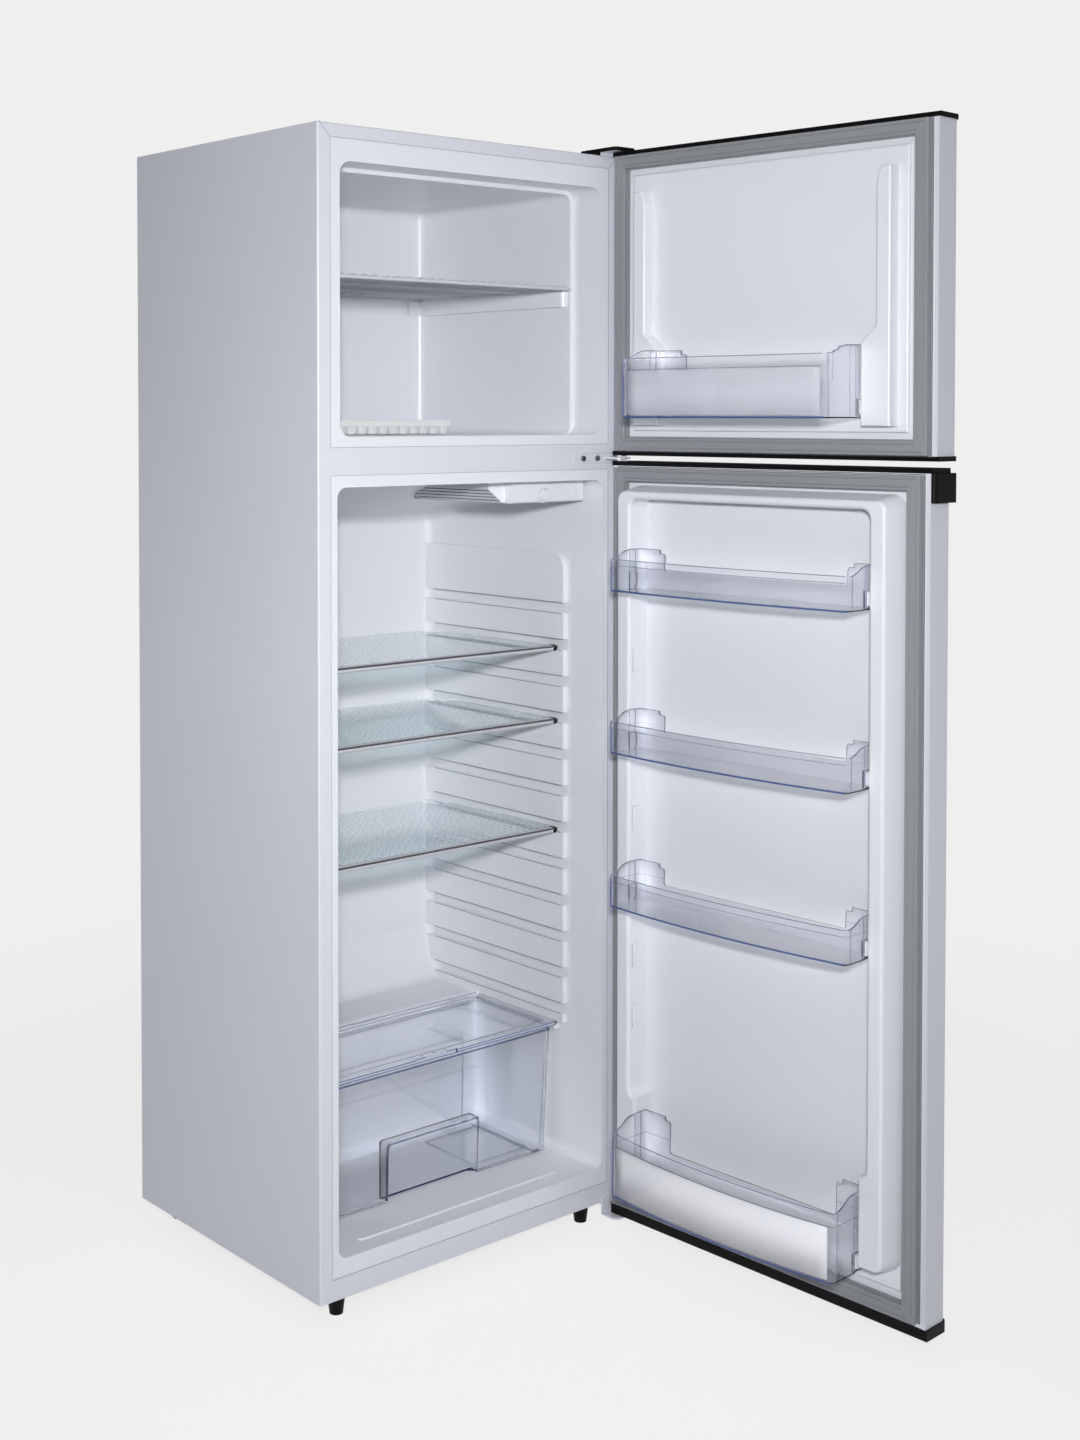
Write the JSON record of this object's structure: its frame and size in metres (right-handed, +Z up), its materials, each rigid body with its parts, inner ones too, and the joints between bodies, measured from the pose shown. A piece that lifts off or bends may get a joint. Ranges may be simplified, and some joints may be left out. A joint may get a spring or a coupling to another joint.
{
  "type": "top freezer refrigerator",
  "caption": "Two-door top freezer refrigerator with hinged doors, sliding shelves, crisper drawer, lift-off door bins, levelling feet and rear rollers.",
  "frame": {"origin": "centre of the footprint at rest with both doors open, on the floor", "axes": "+Z up, +Y towards the back of the cabinet, +X to the right seen from the front"},
  "size_m": [0.63, 1.0506, 1.643],
  "materials": {
    "painted_shell": "gloss lilac-white enamel",
    "white_liner": "satin white polystyrene",
    "galvanised": "galvanised sheet",
    "foam": null,
    "hinge_steel": "white painted steel",
    "screw_steel": "zinc plated",
    "black_plastic": "black polypropylene",
    "grey_seal": "soft grey PVC",
    "clear_plastic": "clear polystyrene, blue tint",
    "shelf_glass": "toughened glass",
    "shelf_edge": "anodised trim",
    "wire_white": "white coated wire",
    "tray_white": "translucent polyethylene",
    "white_plastic": "white ABS",
    "lens_plastic": "ribbed clear lens",
    "bulb_glass": "pygmy lamp",
    "compressor_black": "black enamel",
    "copper": "copper",
    "black_rubber": "rubber",
    "nylon_roller": "grey nylon"
  },
  "bodies": {
    "cabinet": {"outer_shell": "painted_shell", "back_panel": "galvanised", "base_pan": "galvanised", "mullion_rail": "painted_shell", "bottom_rail": "painted_shell", "freezer_liner": "white_liner", "fridge_liner": "white_liner", "niche_plate": "galvanised", "foam_insulation": "foam", "top_hinge": "hinge_steel", "top_hinge_cover": "black_plastic", "middle_hinge": "hinge_steel", "bottom_hinge": "hinge_steel", "hinge_screws": "screw_steel", "roller_brackets": "galvanised", "compressor": "compressor_black", "compressor_mounts": "black_rubber", "relay_box": "black_plastic", "drip_tray": "white_plastic", "filter_drier": "copper", "refrigerant_tubes": "copper", "thermostat_housing": "white_plastic", "thermostat": "white_plastic", "lamp_cover": "lens_plastic", "lamp_bulb": "bulb_glass", "crisper_cover": "clear_plastic"},
    "freezer_door": {"freezer_door_skin": "painted_shell", "freezer_door_foam": "foam", "freezer_door_liner": "white_liner", "freezer_door_gasket": "grey_seal", "freezer_door_top_cap": "black_plastic", "freezer_door_bottom_cap": "black_plastic"},
    "fridge_door": {"fridge_door_skin": "painted_shell", "fridge_door_foam": "foam", "fridge_door_liner": "white_liner", "fridge_door_gasket": "grey_seal", "fridge_door_top_cap": "black_plastic", "fridge_door_bottom_cap": "black_plastic", "fridge_door_grip": "black_plastic"},
    "freezer_bin": {"freezer_door_bin": "clear_plastic"},
    "upper_bin": {"upper_door_bin": "clear_plastic"},
    "middle_bin": {"middle_door_bin": "clear_plastic"},
    "lower_bin": {"lower_door_bin": "clear_plastic"},
    "bottle_bin": {"bottle_bin": "clear_plastic"},
    "wire_shelf": {"wire_shelf": "wire_white"},
    "ice_tray": {"ice_tray": "tray_white"},
    "upper_shelf": {"upper_glass_shelf": "shelf_glass", "upper_shelf_trim": "shelf_edge"},
    "middle_shelf": {"middle_glass_shelf": "shelf_glass", "middle_shelf_trim": "shelf_edge"},
    "lower_shelf": {"lower_glass_shelf": "shelf_glass", "lower_shelf_trim": "shelf_edge"},
    "crisper": {"crisper_drawer": "clear_plastic"},
    "knob": {"thermostat_knob": "white_plastic"},
    "switch": {"door_switch": "white_plastic"},
    "left_foot": {"left_foot": "black_plastic"},
    "right_foot": {"right_foot": "black_plastic"},
    "left_roller": {"left_roller": "nylon_roller"},
    "right_roller": {"right_roller": "nylon_roller"}
  },
  "joints": [
    {"name": "freezer_door_hinge", "type": "hinge", "parent": "cabinet", "child": "freezer_door", "pos_m": [0.2346, 0.02975, 1.4], "axis": [0, 0, 1], "range_deg": [-94.6, 25.4]},
    {"name": "fridge_door_hinge", "type": "hinge", "parent": "cabinet", "child": "fridge_door", "pos_m": [0.2346, 0.02975, 0.6], "axis": [0, 0, 1], "range_deg": [-93.1, 26.9]},
    {"name": "freezer_bin_lift", "type": "slide", "parent": "freezer_door", "child": "freezer_bin", "axis": [0, 0, 1], "range_m": [0, 0.035]},
    {"name": "upper_bin_lift", "type": "slide", "parent": "fridge_door", "child": "upper_bin", "axis": [0, 0, 1], "range_m": [0, 0.035]},
    {"name": "middle_bin_lift", "type": "slide", "parent": "fridge_door", "child": "middle_bin", "axis": [0, 0, 1], "range_m": [0, 0.035]},
    {"name": "lower_bin_lift", "type": "slide", "parent": "fridge_door", "child": "lower_bin", "axis": [0, 0, 1], "range_m": [0, 0.035]},
    {"name": "bottle_bin_lift", "type": "slide", "parent": "fridge_door", "child": "bottle_bin", "axis": [0, 0, 1], "range_m": [0, 0.035]},
    {"name": "wire_shelf_slide", "type": "slide", "parent": "cabinet", "child": "wire_shelf", "axis": [0, -1, 0], "range_m": [0, 0.11]},
    {"name": "ice_tray_slide", "type": "slide", "parent": "cabinet", "child": "ice_tray", "axis": [0, -1, 0], "range_m": [0, 0.15]},
    {"name": "upper_shelf_slide", "type": "slide", "parent": "cabinet", "child": "upper_shelf", "axis": [0, -1, 0], "range_m": [0, 0.13]},
    {"name": "middle_shelf_slide", "type": "slide", "parent": "cabinet", "child": "middle_shelf", "axis": [0, -1, 0], "range_m": [0, 0.13]},
    {"name": "lower_shelf_slide", "type": "slide", "parent": "cabinet", "child": "lower_shelf", "axis": [0, -1, 0], "range_m": [0, 0.13]},
    {"name": "crisper_slide", "type": "slide", "parent": "cabinet", "child": "crisper", "axis": [0, -1, 0], "range_m": [0, 0.14]},
    {"name": "knob_turn", "type": "hinge", "parent": "cabinet", "child": "knob", "pos_m": [0.1215, 0.08635, 1.1215], "axis": [0, 1, 0], "range_deg": [0, 270]},
    {"name": "switch_press", "type": "slide", "parent": "cabinet", "child": "switch", "axis": [0, 1, 0], "range_m": [0, 0.0014], "stiffness_N_per_m": 500},
    {"name": "left_foot_screw", "type": "hinge", "parent": "cabinet", "child": "left_foot", "pos_m": [-0.2665, 0.08335, 0.04], "axis": [0, 0, 1], "continuous": true},
    {"name": "right_foot_screw", "type": "hinge", "parent": "cabinet", "child": "right_foot", "pos_m": [0.1965, 0.08335, 0.04], "axis": [0, 0, 1], "continuous": true},
    {"name": "left_roller_spin", "type": "hinge", "parent": "cabinet", "child": "left_roller", "pos_m": [-0.27, 0.49335, 0.015], "axis": [1, 0, 0], "continuous": true},
    {"name": "right_roller_spin", "type": "hinge", "parent": "cabinet", "child": "right_roller", "pos_m": [0.2, 0.49335, 0.015], "axis": [1, 0, 0], "continuous": true}
  ]
}
